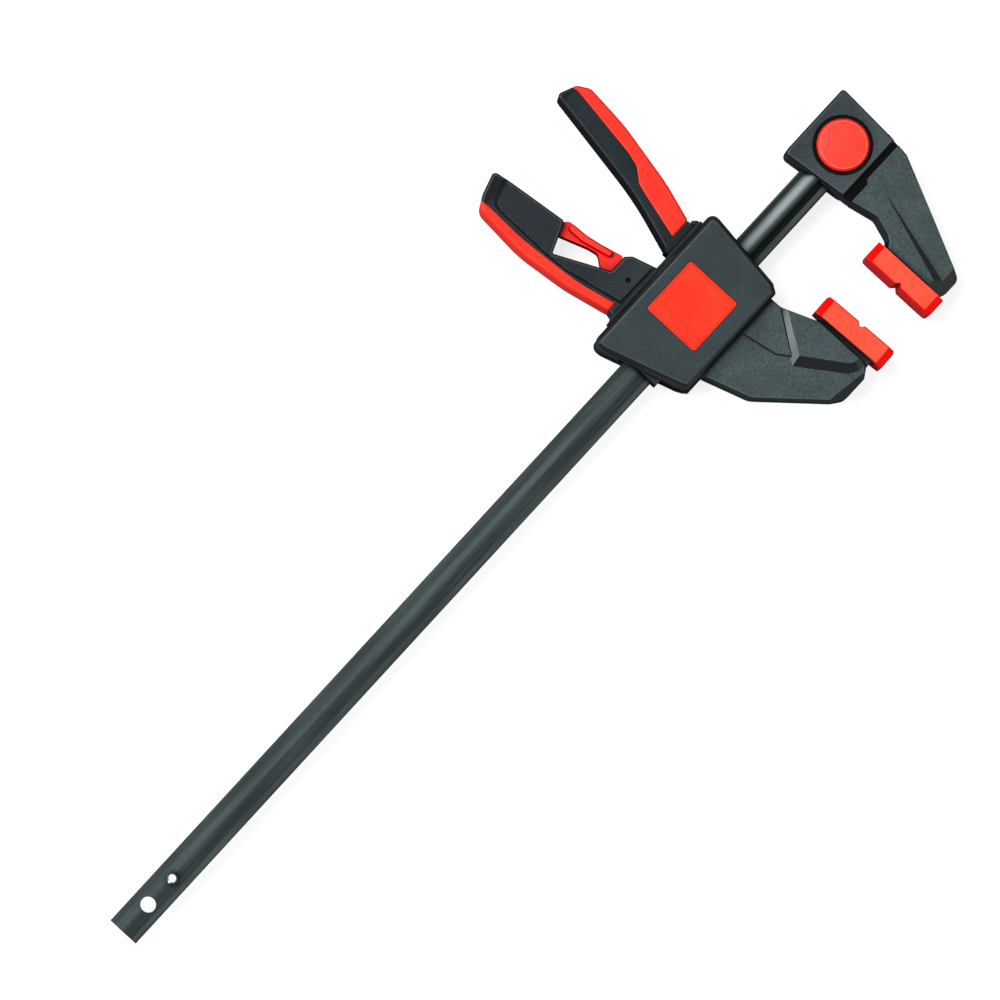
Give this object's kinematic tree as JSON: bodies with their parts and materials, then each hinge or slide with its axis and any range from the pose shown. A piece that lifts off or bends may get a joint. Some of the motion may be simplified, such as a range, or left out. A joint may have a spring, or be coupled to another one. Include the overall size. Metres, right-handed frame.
{
  "type": "quick release bar clamp",
  "caption": "One-handed quick release bar clamp: hollow steel rail, locking fixed jaw, sliding jaw with squeeze trigger, release lever and soft pads.",
  "frame": {"origin": "centre of the hang hole near the rail's tail, on the rail's middle plane", "axes": "+X along the rail to the fixed head, +Y to the handles, -Y to the jaw tips, +Z through the clamp's thickness towards the lock button's side"},
  "size_m": [0.4525, 0.173, 0.032],
  "materials": {
    "rail_steel": "rolled steel with a dark satin finish",
    "pin_steel": "bright steel pin",
    "plain_steel": "plain stamped steel",
    "spring_steel": "spring wire",
    "jaw_resin": "fine textured glass-filled resin",
    "handle_resin": "fine textured glass-filled resin",
    "cover_resin": "fine textured resin cover",
    "bush_nylon": "nylon guide",
    "pad_soft": "soft moulded pad",
    "grip_soft": "soft overmoulded grip",
    "button_red": "satin moulded button",
    "lever_red": "satin moulded lever"
  },
  "bodies": {
    "fixed_side": {"rail": "rail_steel", "stop_pin": "pin_steel", "head_body": "jaw_resin", "fixed_pad": "pad_soft", "lock_spring": "spring_steel"},
    "carriage": {"jaw_body": "jaw_resin", "handle_grip": "grip_soft", "front_cover": "cover_resin", "rear_cover": "cover_resin", "front_pivot_pin": "pin_steel", "rear_pivot_pin": "pin_steel", "movable_pad": "pad_soft", "rear_bush": "bush_nylon", "front_bush": "bush_nylon", "drive_spring": "spring_steel", "brake_spring": "spring_steel", "release_pin": "pin_steel"},
    "trigger": {"trigger_lever": "handle_resin", "trigger_grip": "grip_soft"},
    "drive_plates": {"drive_plate_rear": "plain_steel", "drive_plate_front": "plain_steel"},
    "brake": {"brake_plate": "plain_steel"},
    "release": {"release_lever": "lever_red"},
    "lock": {"lock_slide": "plain_steel", "lock_button": "button_red"}
  },
  "joints": [
    {"name": "jaw_slide", "type": "slide", "parent": "fixed_side", "child": "carriage", "axis": [1, 0, 0], "range_m": [-0.2784, 0.02]},
    {"name": "trigger_hinge", "type": "hinge", "parent": "carriage", "child": "trigger", "pos_m": [0.346, 0.001, 0], "axis": [0, 0, 1], "range_deg": [0, 18], "stiffness_Nm_per_rad": 0.5, "springref_deg": -14.32},
    {"name": "drive_slide", "type": "slide", "parent": "carriage", "child": "drive_plates", "axis": [-1, 0, 0], "range_m": [0, 0.003], "deforming": ["drive_spring"]},
    {"name": "release_hinge", "type": "hinge", "parent": "carriage", "child": "release", "pos_m": [0.3194, 0.028, 0], "axis": [0, 0, 1], "range_deg": [0, 8], "stiffness_Nm_per_rad": 0.2, "springref_deg": -11.46},
    {"name": "brake_tilt", "type": "hinge", "parent": "carriage", "child": "brake", "pos_m": [0.32425, 0.0105, 0], "axis": [0, 0, 1], "range_deg": [-5, 0]},
    {"name": "lock_press", "type": "slide", "parent": "fixed_side", "child": "lock", "axis": [0, 0, -1], "range_m": [0, 0.0023], "stiffness_N_per_m": 800, "springref_m": -0.003, "deforming": ["lock_spring"]}
  ],
  "couplings": [
    {"joint": "drive_slide", "follows": "trigger_hinge", "m_per_rad": 0.009461},
    {"joint": "brake_tilt", "follows": "release_hinge", "ratio": -0.62}
  ]
}
